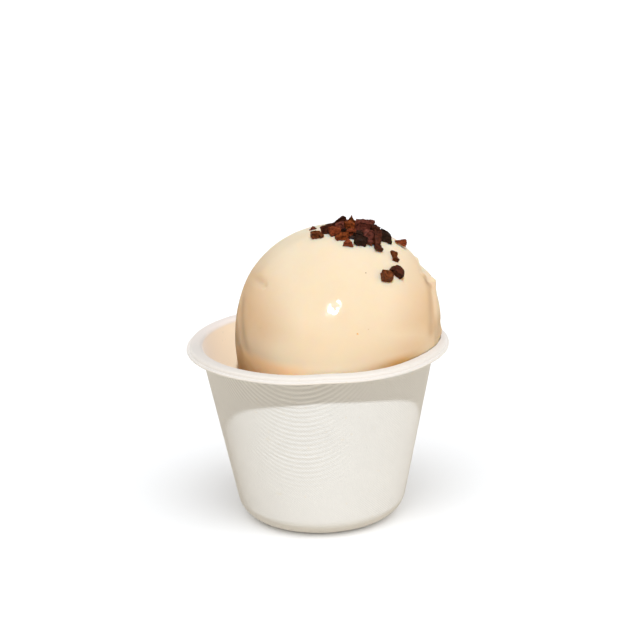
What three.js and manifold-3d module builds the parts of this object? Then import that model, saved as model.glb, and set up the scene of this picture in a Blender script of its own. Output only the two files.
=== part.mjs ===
// A cup of sorbet: one big scoop on a filled moulded-pulp cup, topped with cocoa nibs.
// Millimetres, +Z up. The origin is the middle of the cup's foot, on the table.
import * as THREE from 'three';
import { mergeVertices } from 'three/addons/utils/BufferGeometryUtils.js';
import Module from 'manifold-3d';

const wasm = await Module();
wasm.setup();

// ---------------------------------------------------------------- driving sizes

// Pieces that touch keep this much air between them.
const touchGap = 0.3;

// The cup: a pressed sheet of pulp with a rolled rim and a thin flange round it.
const cup = {
  sheet: 0.8,
  footRadius: 27.7, // where the outside of the wall would meet the table
  footRounding: 8.7,
  wallTopRadius: 40.11, // outside of the wall, level with the underside of the flange
  flangeUnder: 60.4,
  flangeThickness: 0.8,
  flangeRadius: 45.0,
  rimHeight: 62.6,
  rimRadius: 44.1, // outside of the roll, above the flange
  rollInside: 1.6, // rounding from the inner wall to the top of the rim
  rollOutside: 0.9,
  edgeRounding: 0.3,
  grooveRounding: 0.35,
  turns: 54, // facets round the cup
};

// The scoop: a ball a little fuller below than a true sphere, leaning towards +X and back.
const scoop = {
  centre: new THREE.Vector3(7.1, 0, 66.1),
  radius: 35.1,
  fullnessLeft: 2.23, // superellipse power on the -X side, 2 is a circle
  fullnessRight: 1.94,
  lean: 2.0, // how far the top is pushed towards +X
  leanBack: 2.0, // and towards +Y
  meridians: 42,
  parallels: 25,
};

// The shoulder: a shallow valley over the +X side, and the swell of cream below it.
const shoulder = {
  azimuth: 90, // degrees from -Y (the front) towards +X
  valleyElevation: 36,
  swellElevation: 26,
  valleyDepth: 0.5,
  swellHeight: 1.1,
  reach: 34, // degrees along the shoulder
  width: 6.5, // degrees across it
};

// The dimple: a small dent high on the -X side.
const dimple = { azimuth: -60, elevation: 35, depth: 0.35, reach: 9, width: 4 };

// The belly: where the cream has sagged against the front of the rim.
const belly = { azimuth: -14, elevation: -12, height: 4.2, reach: 30, width: 32 };

// The sorbet under the scoop fills the cup up to here.
const fill = { edgeHeight: 38.0, middleHeight: 46.0, edgeRounding: 3.0 };

// The nib heap: an oval mound of angular chunks on the top of the scoop.
const heap = {
  middle: new THREE.Vector2(13.6, -3.0),
  halfLength: 12.0,
  halfWidth: 8.2,
  moundLength: 8.5,
  moundWidth: 5.6,
  moundHeight: 1.3,
  pileHeight: 2.2, // how much higher the chunks in the middle lie than those at the edge
  chunks: 24,
  chunkSize: [1.9, 2.9], // half sizes
  chunkFlatness: [0.6, 0.85],
  roughness: 0.24,
  seed: 11,
};

// ---------------------------------------------------------------- helpers

// How many straight steps stand for a rounding: a small one is a bevel, a large one a fair curve.
const stepsFor = (rounding) => Math.min(6, 1 + Math.floor(rounding * 1.8));

// A point list for a corner line whose corners are rounded: [r, z, rounding].
function roundedOutline(corners) {
  const points = [];
  corners.forEach(([r, z, rounding], i) => {
    const corner = new THREE.Vector2(r, z);
    if (!rounding) {
      points.push(corner);
      return;
    }
    const before = new THREE.Vector2(...corners[i - 1]).sub(corner).normalize();
    const after = new THREE.Vector2(...corners[i + 1]).sub(corner).normalize();
    const half = Math.acos(before.dot(after)) / 2;
    const middle = before.clone().add(after).normalize();
    const centre = corner.clone().addScaledVector(middle, rounding / Math.sin(half));
    const start = before.clone().multiplyScalar(rounding / Math.tan(half)).add(corner).sub(centre);
    const end = after.clone().multiplyScalar(rounding / Math.tan(half)).add(corner).sub(centre);
    const steps = stepsFor(rounding);
    let sweep = end.angle() - start.angle();
    if (sweep > Math.PI) sweep -= 2 * Math.PI;
    if (sweep < -Math.PI) sweep += 2 * Math.PI;
    for (let k = 0; k <= steps; k += 1) {
      const a = start.angle() + (sweep * k) / steps;
      points.push(new THREE.Vector2(Math.cos(a), Math.sin(a)).multiplyScalar(rounding).add(centre));
    }
  });
  return points;
}

// A solid of revolution about Z. The outline runs from the axis, outwards and back to it.
function turned(outline) {
  return new THREE.LatheGeometry(outline, cup.turns).rotateX(Math.PI / 2);
}

// A closed three.js mesh as a solid that can be joined and cut.
function solidOf(geometry) {
  const bare = geometry.clone();
  bare.deleteAttribute('normal');
  bare.deleteAttribute('uv');
  const merged = mergeVertices(bare, 1e-4);
  const corners = merged.index.array;
  const kept = [];
  for (let i = 0; i < corners.length; i += 3) {
    const [a, b, c] = [corners[i], corners[i + 1], corners[i + 2]];
    if (a !== b && b !== c && c !== a) kept.push(a, b, c);
  }
  return new wasm.Manifold(new wasm.Mesh({
    numProp: 3,
    vertProperties: new Float32Array(merged.attributes.position.array),
    triVerts: new Uint32Array(kept),
  }));
}

function geometryOf(solid) {
  const mesh = solid.getMesh();
  const geometry = new THREE.BufferGeometry();
  geometry.setAttribute('position', new THREE.BufferAttribute(mesh.vertProperties, mesh.numProp));
  geometry.setIndex(new THREE.BufferAttribute(mesh.triVerts, 1));
  geometry.computeVertexNormals();
  return geometry;
}

// The largest closed skin of a solid, which fills any pocket sealed between joined pieces.
function outerShell(solid) {
  return solid.decompose().reduce((best, next) => (next.volume() > best.volume() ? next : best));
}

// Repeatable random numbers from 0 to 1.
function randomSource(seed) {
  let state = seed;
  return () => {
    state = (state + 0x6d2b79f5) | 0;
    let t = Math.imul(state ^ (state >>> 15), 1 | state);
    t = (t + Math.imul(t ^ (t >>> 7), 61 | t)) ^ t;
    return ((t ^ (t >>> 14)) >>> 0) / 4294967296;
  };
}

// ---------------------------------------------------------------- the cup

const wallSlope = (cup.wallTopRadius - cup.footRadius) / cup.flangeUnder;
const wallLean = Math.atan(wallSlope);
const sheetAcross = cup.sheet / Math.cos(wallLean); // the sheet, measured level
const outsideAt = (z) => cup.footRadius + wallSlope * z;
const insideAt = (z) => outsideAt(z) - sheetAcross;

function cupOutline() {
  const flangeTop = cup.flangeUnder + cup.flangeThickness;
  const roof = cup.rimHeight - cup.sheet;
  const skirtInside = cup.rimRadius - cup.sheet;
  return roundedOutline([
    [0, 0],
    [cup.footRadius, 0, cup.footRounding],
    [outsideAt(roof), roof, cup.grooveRounding],
    [skirtInside, roof, cup.grooveRounding],
    [skirtInside, cup.flangeUnder, cup.edgeRounding],
    [cup.flangeRadius, cup.flangeUnder, cup.edgeRounding],
    [cup.flangeRadius, flangeTop, cup.edgeRounding],
    [cup.rimRadius, flangeTop, cup.grooveRounding],
    [cup.rimRadius, cup.rimHeight, cup.rollOutside],
    [insideAt(cup.rimHeight), cup.rimHeight, cup.rollInside],
    [insideAt(cup.sheet), cup.sheet, cup.footRounding - cup.sheet],
    [0, cup.sheet],
  ]);
}

// All the room the sorbet may take: the cup's hollow less the gap, and the air over the rim.
function sorbetRoom() {
  const lineInside = (z) => insideAt(z) - touchGap / Math.cos(wallLean);
  const overRim = cup.rimHeight + touchGap;
  const beyond = cup.flangeRadius + cup.rollInside;
  return turned(roundedOutline([
    [0, cup.sheet + touchGap],
    [lineInside(cup.sheet + touchGap), cup.sheet + touchGap, cup.footRounding - cup.sheet - touchGap],
    [lineInside(overRim), overRim, cup.rollInside + touchGap],
    [beyond, overRim],
    [beyond, scoop.centre.z + 2 * scoop.radius],
    [0, scoop.centre.z + 2 * scoop.radius],
  ]));
}

// ---------------------------------------------------------------- the sorbet

// A smooth bump that is 1 at its middle and fades over the given half width.
const bump = (distance, width) => Math.exp(-((distance / width) ** 2));

// How far the surface stands out from the plain ball in a direction, in millimetres.
function relief(direction) {
  const azimuth = THREE.MathUtils.radToDeg(Math.atan2(direction.x, -direction.y));
  const elevation = THREE.MathUtils.radToDeg(Math.asin(direction.z));
  const along = bump(azimuth - shoulder.azimuth, shoulder.reach);
  const valley = bump(elevation - shoulder.valleyElevation, shoulder.width);
  const swell = bump(elevation - shoulder.swellElevation, shoulder.width);
  const dent = bump(azimuth - dimple.azimuth, dimple.reach)
    * bump(elevation - dimple.elevation, dimple.width);
  const sag = bump(azimuth - belly.azimuth, belly.reach)
    * bump(elevation - belly.elevation, belly.width);
  return along * (shoulder.swellHeight * swell - shoulder.valleyDepth * valley)
    - dimple.depth * dent + belly.height * sag;
}

// The point of the scoop's surface in a unit direction from its centre, grown by some millimetres.
function scoopPoint(direction, grown = 0) {
  const level = Math.hypot(direction.x, direction.y);
  const right = 0.5 + (0.5 * direction.x) / Math.max(level, 1e-9);
  const power = THREE.MathUtils.lerp(scoop.fullnessLeft, scoop.fullnessRight, right);
  const plain = scoop.radius / (level ** power + Math.abs(direction.z) ** power) ** (1 / power);
  const point = direction.clone().multiplyScalar(plain + relief(direction) + grown);
  point.x += (scoop.lean * point.z) / scoop.radius;
  point.y += (scoop.leanBack * point.z) / scoop.radius;
  return point.add(scoop.centre);
}

function scoopBall(grown = 0) {
  const ball = new THREE.SphereGeometry(1, scoop.meridians, scoop.parallels).rotateX(Math.PI / 2);
  const place = ball.attributes.position;
  for (let i = 0; i < place.count; i += 1) {
    const direction = new THREE.Vector3().fromBufferAttribute(place, i).normalize();
    place.setXYZ(i, ...scoopPoint(direction, grown).toArray());
  }
  return ball;
}

// The sorbet that fills the lower cup, a little higher in the middle where the scoop sits.
function fillPlug() {
  const beyond = outsideAt(fill.edgeHeight);
  return turned(roundedOutline([
    [0, 0],
    [beyond, 0],
    [beyond, fill.edgeHeight],
    [scoop.radius - fill.edgeRounding, fill.edgeHeight, fill.edgeRounding],
    [0, fill.middleHeight],
  ]));
}

function sorbetSolid() {
  return solidOf(scoopBall()).add(solidOf(fillPlug())).intersect(solidOf(sorbetRoom()));
}

// ---------------------------------------------------------------- the nibs

// The point of the scoop's skin over a place in plan, with the direction that faces out there.
function onScoop(x, y) {
  const across = new THREE.Vector2(x - scoop.centre.x - scoop.lean, y - scoop.leanBack);
  const up = Math.sqrt(scoop.radius ** 2 - across.lengthSq());
  const direction = new THREE.Vector3(across.x, across.y, up).normalize();
  return { point: scoopPoint(direction), direction };
}

// One broken nib: a crystal-like chunk with uneven corners, turned at random.
function chunk(place, size, flatness, random) {
  const shape = mergeVertices(new THREE.IcosahedronGeometry(1, 0).deleteAttribute('normal')
    .deleteAttribute('uv'), 1e-4);
  const corner = shape.attributes.position;
  for (let i = 0; i < corner.count; i += 1) {
    const out = 1 + heap.roughness * (2 * random() - 1);
    corner.setXYZ(i, corner.getX(i) * out, corner.getY(i) * out, corner.getZ(i) * out);
  }
  shape.scale(size, size * flatness, size * flatness ** 2);
  const turn = new THREE.Euler(random(), random(), Math.PI * random());
  shape.applyMatrix4(new THREE.Matrix4().makeRotationFromEuler(turn));
  return shape.translate(...place.toArray());
}

function heapSolid() {
  const random = randomSource(heap.seed);
  const between = ([low, high]) => low + (high - low) * random();
  const { point: crown, direction: outwards } = onScoop(heap.middle.x, heap.middle.y);
  const mound = new THREE.SphereGeometry(1, 24, 12)
    .scale(heap.moundLength, heap.moundWidth, heap.moundHeight);
  const tilt = new THREE.Quaternion().setFromUnitVectors(new THREE.Vector3(0, 0, 1), outwards);
  mound.applyQuaternion(tilt).translate(...crown.toArray());
  let solid = solidOf(mound);
  const goldenTurn = Math.PI * (3 - Math.sqrt(5));
  for (let i = 0; i < heap.chunks; i += 1) {
    const away = Math.sqrt((i + 0.5) / heap.chunks);
    const turn = i * goldenTurn;
    const size = between(heap.chunkSize);
    const x = heap.middle.x + (heap.halfLength - size) * away * Math.cos(turn);
    const y = heap.middle.y + (heap.halfWidth - size) * away * Math.sin(turn);
    const skin = onScoop(x, y);
    const flatness = between(heap.chunkFlatness);
    const lift = (size * flatness) / 2 + heap.pileHeight * (1 - away ** 2);
    const place = skin.point.addScaledVector(skin.direction, lift);
    solid = solid.add(solidOf(chunk(place, size, flatness, random)));
  }
  return outerShell(solid.subtract(solidOf(scoopBall(touchGap))));
}

// ---------------------------------------------------------------- the parts

const finishes = {
  pulp: new THREE.MeshStandardMaterial({ color: 0xf1eee4, roughness: 0.85, metalness: 0 }),
  sorbet: new THREE.MeshStandardMaterial({ color: 0xf6dfbc, roughness: 0.3, metalness: 0 }),
  nib: new THREE.MeshStandardMaterial({ color: 0x4a1f16, roughness: 0.5, metalness: 0 }),
};

function part(name, geometry, finish) {
  const mesh = new THREE.Mesh(geometry, finish);
  mesh.name = name;
  return mesh;
}

const group = new THREE.Group();
group.add(part('cup', turned(cupOutline()), finishes.pulp));
group.add(part('sorbet_scoop', geometryOf(sorbetSolid()), finishes.sorbet));
group.add(part('nib_heap', geometryOf(heapSolid()), finishes.nib));

export default group;
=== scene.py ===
# %% [markdown]
# # A cup of sorbet
#
# This lesson builds a small moulded-pulp tub with one big, smooth scoop of sorbet in it, topped
# with roasted cocoa nibs. The sizes and places come from a measured model, which is loaded first
# and stays where it is. Its three solids are plain, so each one is replaced by a finer piece of
# the same shape: the tub, the sorbet and the nibs.

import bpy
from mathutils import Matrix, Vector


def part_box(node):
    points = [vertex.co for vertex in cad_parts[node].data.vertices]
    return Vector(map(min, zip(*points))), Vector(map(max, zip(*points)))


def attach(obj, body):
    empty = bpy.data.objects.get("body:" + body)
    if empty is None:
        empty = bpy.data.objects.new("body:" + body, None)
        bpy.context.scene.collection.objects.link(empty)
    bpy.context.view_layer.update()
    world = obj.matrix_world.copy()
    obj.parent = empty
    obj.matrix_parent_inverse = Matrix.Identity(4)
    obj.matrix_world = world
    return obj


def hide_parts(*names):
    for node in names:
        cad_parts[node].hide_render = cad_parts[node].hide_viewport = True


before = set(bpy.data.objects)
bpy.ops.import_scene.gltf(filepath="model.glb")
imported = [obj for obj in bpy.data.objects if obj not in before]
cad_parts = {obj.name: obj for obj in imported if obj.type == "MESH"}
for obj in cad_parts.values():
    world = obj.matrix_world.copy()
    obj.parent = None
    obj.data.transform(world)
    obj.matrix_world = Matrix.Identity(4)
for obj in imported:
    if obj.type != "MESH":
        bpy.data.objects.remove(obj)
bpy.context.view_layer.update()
print("nodes:", sorted(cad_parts))

# %% [markdown]
# ## Working by hand, in code
#
# An operator acts on all that is selected, and loading the model leaves it selected, so each new
# piece starts from a clean slate. A few small helpers keep the later cells short: one selects by
# place in edit mode, one applies a modifier, and one moves every point of a mesh by a formula,
# which is the code version of a sculpting brush. All sizes are written in millimetres.

# %% Helpers for modelling
import math
import random

import bmesh
import bpy
import numpy as np
from mathutils import Matrix, Vector, noise

MM = 0.001


def start_clean():
    """Object mode with nothing selected."""
    if bpy.context.object and bpy.context.object.mode != "OBJECT":
        bpy.ops.object.mode_set(mode="OBJECT")
    bpy.ops.object.select_all(action="DESELECT")


def name_new(name):
    """Names the primitive just added, and its mesh, and opens it in edit mode, all selected."""
    piece = bpy.context.object
    piece.name = name
    piece.data.name = name
    bpy.ops.object.mode_set(mode="EDIT")
    bpy.ops.mesh.select_mode(type="VERT")
    bpy.ops.mesh.select_all(action="SELECT")
    return piece


def pick(piece, kind, test):
    """In edit mode, selects only the verts, edges or faces whose middle, in mm, passes a test."""
    bpy.ops.mesh.select_mode(type={"verts": "VERT", "edges": "EDGE", "faces": "FACE"}[kind])
    bpy.ops.mesh.select_all(action="DESELECT")
    shape = bmesh.from_edit_mesh(piece.data)
    for item in getattr(shape, kind):
        corners = [item] if kind == "verts" else item.verts
        middle = sum((corner.co for corner in corners), Vector()) / len(corners)
        if test(middle / MM):
            item.select_set(True)
    bmesh.update_edit_mesh(piece.data)


def finish_with(piece, kind, **settings):
    """Adds a modifier with its settings and applies it."""
    bpy.context.view_layer.objects.active = piece
    modifier = piece.modifiers.new(kind.lower(), kind)
    for name, value in settings.items():
        setattr(modifier, name, value)
    bpy.ops.object.modifier_apply(modifier=modifier.name)


def shape_by(piece, formula):
    """Moves every point of a mesh: the formula takes and gives an array of places in mm."""
    places = np.empty(len(piece.data.vertices) * 3)
    piece.data.vertices.foreach_get("co", places)
    moved = formula(places.reshape(-1, 3) / MM) * MM
    piece.data.vertices.foreach_set("co", moved.ravel())
    piece.data.update()


def triangles(piece):
    """How many triangles a piece comes to."""
    return sum(len(face.vertices) - 2 for face in piece.data.polygons)


# %% [markdown]
# ## Colours and shader nodes
#
# A colour picked on a screen is sRGB, but shaders count light, so one function turns a hex colour
# linear. A second adds a node with its settings, the values of its sockets and its links, so that
# each material reads from top to bottom as a list of what feeds what.

# %% Helpers for materials


def linear(hex_colour):
    """An sRGB hex colour as linear RGBA."""
    shares = [int(hex_colour[i:i + 2], 16) / 255 for i in (1, 3, 5)]
    return [s / 12.92 if s <= 0.04045 else ((s + 0.055) / 1.055) ** 2.4 for s in shares] + [1.0]


def add_node(tree, kind, values=None, links=None, **settings):
    """Adds a node: settings are its own, values go on its sockets, links feed its sockets."""
    node = tree.nodes.new(kind)
    for name, value in settings.items():
        setattr(node, name, value)
    for socket, value in (values or {}).items():
        node.inputs[socket].default_value = value
    for socket, source in (links or {}).items():
        tree.links.new(source, node.inputs[socket])
    return node


def new_material(name):
    """An empty node material, and its tree."""
    material = bpy.data.materials.new(name)
    material.use_nodes = True
    material.node_tree.nodes.clear()
    return material, material.node_tree


# %% [markdown]
# ## The camera
#
# The tub is seen from a little above with a long lens, which keeps its sides almost straight. The
# camera looks at a point near the middle of the object from 65 cm away, and is turned a little
# about its own axis, as a hand-held one is.

# %% The camera
VIEW_TARGET = Vector((1.0, 0.0, 69.0)) * MM
VIEW_DISTANCE = 650.2 * MM
VIEW_ELEVATION = 16.3
VIEW_ROLL = -1.64
VIEW_LENS = 107.15

start_clean()
bpy.ops.object.camera_add()
camera = bpy.context.object
look_down = Matrix.Rotation(math.radians(90 - VIEW_ELEVATION), 4, "X")
roll = Matrix.Rotation(math.radians(VIEW_ROLL), 4, "Z")
stand_back = VIEW_TARGET + look_down @ Vector((0, 0, VIEW_DISTANCE))
camera.matrix_world = Matrix.Translation(stand_back) @ look_down @ roll
camera.data.lens = VIEW_LENS
camera.data.sensor_width = 36
camera.data.clip_start = 0.01
bpy.context.scene.camera = camera
print("camera stands at", [round(v, 3) for v in stand_back])

# %% [markdown]
# ## Floor and light
#
# A small key light, a little cool, stands high behind the camera. It draws the shadow of the rim
# on the wall and the bright spot on the wet sorbet. Light linking lets it fall on the object only:
# the floor has a very wide light of its own, so it stays pale and takes only a soft shadow, as on
# a studio table under a big lamp. The floor throws a warmer light back up than the eye sees on it,
# which warms the shaded wall. The surround is brighter in front and at both sides, as with two
# white boards, and dim behind. The floor is a wide plane, and the view transform is the plain one,
# so that the colours of the materials come out as they are mixed.

# %% Floor, surround and key light
FLOOR_SIZE = 12.0
FLOOR_DROP = 0.05 * MM
KEY_ELEVATION = 53
KEY_AZIMUTH = 5
KEY_STRENGTH = 3.7
KEY_ANGLE = 2.2
KEY_COLOUR = "#F4F9FF"
FLOOR_LIGHT_ANGLE = 110
FLOOR_LIGHT_STRENGTH = 4.15
SURROUND_FRONT = 0.36
SURROUND_BACK = 0.08
SURROUND_LEFT = 0.33
SURROUND_RIGHT = 0.46
SURROUND_SEEN = 0.95

start_clean()
bpy.ops.mesh.primitive_plane_add(size=FLOOR_SIZE, location=(0, 0, -FLOOR_DROP))
floor = bpy.context.object
floor.name = "floor"

studio_floor, tree = new_material("studio_floor_matt_paint")
coords = add_node(tree, "ShaderNodeTexCoord")
mottle = add_node(tree, "ShaderNodeTexNoise", {"Scale": 4.0, "Detail": 2.0},
                  {"Vector": coords.outputs["Object"]})
paint = add_node(tree, "ShaderNodeMix", {6: linear("#F5F5F5"), 7: linear("#F8F8F8")},
                 {0: mottle.outputs["Fac"]}, data_type="RGBA")
seen = add_node(tree, "ShaderNodeLightPath").outputs["Is Camera Ray"]
bounce = add_node(tree, "ShaderNodeMix", {6: linear("#F0E4D2")}, {0: seen, 7: paint.outputs[2]},
                  data_type="RGBA")
matt = add_node(tree, "ShaderNodeBsdfPrincipled", {"Roughness": 0.9},
                {"Base Color": bounce.outputs[2]})
add_node(tree, "ShaderNodeOutputMaterial", links={"Surface": matt.outputs[0]})
floor.data.materials.append(studio_floor)


def add_sun(name, azimuth, elevation, angle, strength, lights_up):
    """A sun, placed by azimuth from the front and elevation, that lights up one collection."""
    start_clean()
    bpy.ops.object.light_add(type="SUN")
    sun = bpy.context.object
    sun.name = name
    turn = Matrix.Rotation(math.radians(azimuth), 4, "Z")
    sun.matrix_world = turn @ Matrix.Rotation(math.radians(90 - elevation), 4, "X")
    sun.data.energy = strength
    sun.data.color = linear(KEY_COLOUR)[:3]
    sun.data.angle = math.radians(angle)
    sun.light_linking.receiver_collection = lights_up
    return sun


on_object = bpy.data.collections.new("lit_by_key")
on_floor = bpy.data.collections.new("lit_by_floor_light")
on_floor.objects.link(floor)
add_sun("key", KEY_AZIMUTH, KEY_ELEVATION, KEY_ANGLE, KEY_STRENGTH, on_object)
add_sun("floor_light", KEY_AZIMUTH, KEY_ELEVATION, FLOOR_LIGHT_ANGLE, FLOOR_LIGHT_STRENGTH, on_floor)

world = bpy.data.worlds.new("surround")
bpy.context.scene.world = world
world.use_nodes = True
tree = world.node_tree
tree.nodes.clear()
way = add_node(tree, "ShaderNodeTexCoord").outputs["Generated"]
forwards = add_node(tree, "ShaderNodeVectorMath", {1: (0.2, -0.9, 0.3)}, {0: way},
                    operation="DOT_PRODUCT")
brightness = add_node(tree, "ShaderNodeMapRange",
                      {1: -1.0, 2: 1.0, 3: SURROUND_BACK, 4: SURROUND_FRONT},
                      {0: forwards.outputs["Value"]})
apart = add_node(tree, "ShaderNodeSeparateXYZ", links={0: way})
for side, strength in ((-1.0, SURROUND_LEFT), (1.0, SURROUND_RIGHT)):
    glow = add_node(tree, "ShaderNodeMapRange", {1: 0.4 * side, 2: side, 4: strength},
                    {0: apart.outputs[0]}, interpolation_type="SMOOTHSTEP")
    brightness = add_node(tree, "ShaderNodeMath",
                          links={0: brightness.outputs[0], 1: glow.outputs[0]})
lit = add_node(tree, "ShaderNodeBackground", {"Color": linear("#FFF6EA")},
               {"Strength": brightness.outputs[0]})
seen = add_node(tree, "ShaderNodeBackground",
                {"Color": linear("#FFFFFF"), "Strength": SURROUND_SEEN})
looking = add_node(tree, "ShaderNodeLightPath").outputs["Is Camera Ray"]
surround = add_node(tree, "ShaderNodeMixShader",
                    links={0: looking, 1: lit.outputs[0], 2: seen.outputs[0]})
add_node(tree, "ShaderNodeOutputWorld", links={"Surface": surround.outputs[0]})
bpy.context.scene.view_settings.view_transform = "Standard"
print("key light", KEY_ELEVATION, "degrees up")

# %% [markdown]
# ## The tub: drawing half its section
#
# The real tub is pressed from wet plant pulp between two heated moulds: one sheet, under a
# millimetre thick, with a rounded foot, a leaning wall, a rolled rim that is hollow underneath and
# a thin flange round it. Anything round like this can be spun from half of its section. The
# section is a short list of corners. The line is drawn by extruding a vertex from corner to
# corner, and each corner is then rounded by a vertex bevel, which is quicker to change than
# placing arc points.

# %% The tub's sizes
SHEET = 0.8
FOOT_RADIUS = 27.7
FOOT_ROUNDING = 8.7
WALL_TOP_RADIUS = 40.11
FLANGE_UNDER = 60.4
FLANGE_TOP = 61.2
FLANGE_RADIUS = 45.0
RIM_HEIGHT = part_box("cup")[1].z / MM
RIM_RADIUS = 44.1
ROLL_INSIDE = 1.6
ROLL_OUTSIDE = 0.9

WALL_SLOPE = (WALL_TOP_RADIUS - FOOT_RADIUS) / FLANGE_UNDER
WALL_LEAN = math.atan(WALL_SLOPE)


def outside_at(z):
    """The outer radius of the wall at a height."""
    return FOOT_RADIUS + WALL_SLOPE * z


def inside_at(z):
    """The inner radius of the wall at a height."""
    return outside_at(z) - SHEET / math.cos(WALL_LEAN)


print("rim", round(RIM_HEIGHT, 2), "mm high, wall leans", round(math.degrees(WALL_LEAN), 1))

# %% [markdown]
# Four helpers do the drawing: one draws the line, one rounds its corners, one cuts a straight
# stretch into rows where detail comes later, and one turns the line into a body with the Screw
# modifier. The points on the axis meet in one place after the turn, so they are merged, and only
# then are the normals made to face outwards.

# %% Draw, round and turn a section


def place_of(corner):
    """A corner's place in metres, from its radius and height in mm."""
    return Vector((corner[0], 0, corner[1])) * MM


def draw_section(name, corners):
    """A line from corner to corner in the XZ plane, each corner [radius, height, rounding]."""
    start_clean()
    bpy.ops.mesh.primitive_plane_add(size=MM)
    piece = name_new(name)
    bpy.ops.mesh.merge(type="CENTER")
    bpy.ops.transform.translate(value=place_of(corners[0]))
    for here, there in zip(corners, corners[1:]):
        step = place_of(there) - place_of(here)
        bpy.ops.mesh.extrude_vertices_move(TRANSFORM_OT_translate={"value": step})
    return piece


def round_corners(piece, corners, segment_length=0.45):
    """Rounds each corner that has a rounding by a vertex bevel of the right reach."""
    for before, corner, after in zip(corners, corners[1:], corners[2:]):
        radius, height, rounding = corner
        if not rounding:
            continue
        here = place_of(corner)
        opening = (place_of(before) - here).angle(place_of(after) - here)
        reach = rounding / math.tan(opening / 2)
        arc = rounding * (math.pi - opening)
        pick(piece, "verts", lambda p: math.hypot(p.x - radius, p.z - height) < 0.01)
        bpy.ops.mesh.bevel(offset=reach * MM, offset_type="OFFSET", affect="VERTICES",
                           segments=max(3, round(arc / segment_length)), profile=0.5)


def add_rows(piece, low, high, cuts):
    """Cuts the section's straight edge that lies between two corners into even rows."""
    middle = Vector((low[0] + high[0], 0, low[1] + high[1])) / 2
    bpy.ops.object.mode_set(mode="OBJECT")
    points = piece.data.vertices
    middles = [(points[a].co + points[b].co) / 2 / MM for a, b in piece.data.edge_keys]
    nearest = min((m - middle).length for m in middles)
    bpy.ops.object.mode_set(mode="EDIT")
    pick(piece, "edges", lambda p: (p - middle).length < nearest + 0.01)
    bpy.ops.mesh.subdivide(number_cuts=cuts)


def spin_section(piece, steps):
    """Turns the section into a body: a full turn of the Screw modifier, then closed poles."""
    bpy.ops.object.mode_set(mode="OBJECT")
    finish_with(piece, "SCREW", axis="Z", angle=math.tau, steps=steps, render_steps=steps,
                use_merge_vertices=True, merge_threshold=0.002 * MM)
    bpy.ops.object.mode_set(mode="EDIT")
    bpy.ops.mesh.select_mode(type="VERT")
    bpy.ops.mesh.select_all(action="SELECT")
    bpy.ops.mesh.remove_doubles(threshold=0.002 * MM)
    bpy.ops.mesh.normals_make_consistent(inside=False)
    bpy.ops.object.mode_set(mode="OBJECT")
    bpy.ops.object.shade_smooth_by_angle(angle=math.radians(50))


# %% [markdown]
# The wall needs many rows, because the print of the forming mesh is raised on it later. Two extra
# corners without a rounding split the wall: the fine rows lie above the lower one, where the print
# shows, and the stretch below it keeps wide rows, so the piece stays light.

# %% The tub's body
PRINT_FROM = 13.0
TUB_STEPS = 480
FINE_ROWS = 128
ROOF = RIM_HEIGHT - SHEET
SKIRT_INSIDE = RIM_RADIUS - SHEET

tub_corners = [
    [0, 0, 0],
    [FOOT_RADIUS, 0, FOOT_ROUNDING],
    [outside_at(PRINT_FROM), PRINT_FROM, 0],
    [outside_at(FLANGE_UNDER), FLANGE_UNDER, 0],
    [outside_at(ROOF), ROOF, 0.35],
    [SKIRT_INSIDE, ROOF, 0.35],
    [SKIRT_INSIDE, FLANGE_UNDER, 0.3],
    [FLANGE_RADIUS, FLANGE_UNDER, 0.3],
    [FLANGE_RADIUS, FLANGE_TOP, 0.3],
    [RIM_RADIUS, FLANGE_TOP, 0.35],
    [RIM_RADIUS, RIM_HEIGHT, ROLL_OUTSIDE],
    [inside_at(RIM_HEIGHT), RIM_HEIGHT, ROLL_INSIDE],
    [inside_at(SHEET), SHEET, FOOT_ROUNDING - SHEET],
    [0, SHEET, 0],
]
tub = draw_section("pulp_tub", tub_corners)
round_corners(tub, tub_corners)
add_rows(tub, tub_corners[2], tub_corners[3], FINE_ROWS)
add_rows(tub, tub_corners[-3], tub_corners[-2], 10)
spin_section(tub, TUB_STEPS)
print("tub:", triangles(tub), "triangles")

# %% [markdown]
# ## The tub: the print of the forming mesh
#
# Wet pulp is sucked onto a mould that is covered with fine wire mesh, and the mesh leaves its
# print outside. Where the wires are stretched round the mould they gather in bowed ridges, one
# above the other like nested letters U, which fade out towards the foot. They are under a tenth
# of a millimetre high, so a formula raises the points of the wall: a cosine over the height, bent
# by the square of the distance round the wall. The pattern is repeated twice round the tub.
# The rim of such a tub is never quite level or round, so the same step lets it wander, and sinks
# a shallow groove on the left between the rolled rim and the flange.

# %% Raise the print and let the rim wander
PRINT_MIDDLE = -10
PRINT_REPEAT = 180
RIDGE_SPACING = 1.75
RIDGE_BOW = 0.0245
RIDGE_HEIGHT = 0.095
RIDGES_LEAN_LEFT = -7.0
RIDGES_HALF_WIDTH = 23.0
GROOVE_DEPTH = 0.25


def fade(value, low, high):
    """0 below low and 1 above high, with a smooth ramp between."""
    share = np.clip((value - low) / (high - low), 0, 1)
    return share * share * (3 - 2 * share)


def bump(distance, width):
    """1 in the middle, fading over a width."""
    return np.exp(-(distance / width) ** 2)


def round_from_print(place):
    """How far round the wall each place lies from the middle of its print, in mm."""
    azimuth = np.degrees(np.arctan2(place[:, 0], -place[:, 1]))
    turn = (azimuth - PRINT_MIDDLE + PRINT_REPEAT / 2) % PRINT_REPEAT - PRINT_REPEAT / 2
    return np.radians(turn) * outside_at(place[:, 2])


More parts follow.
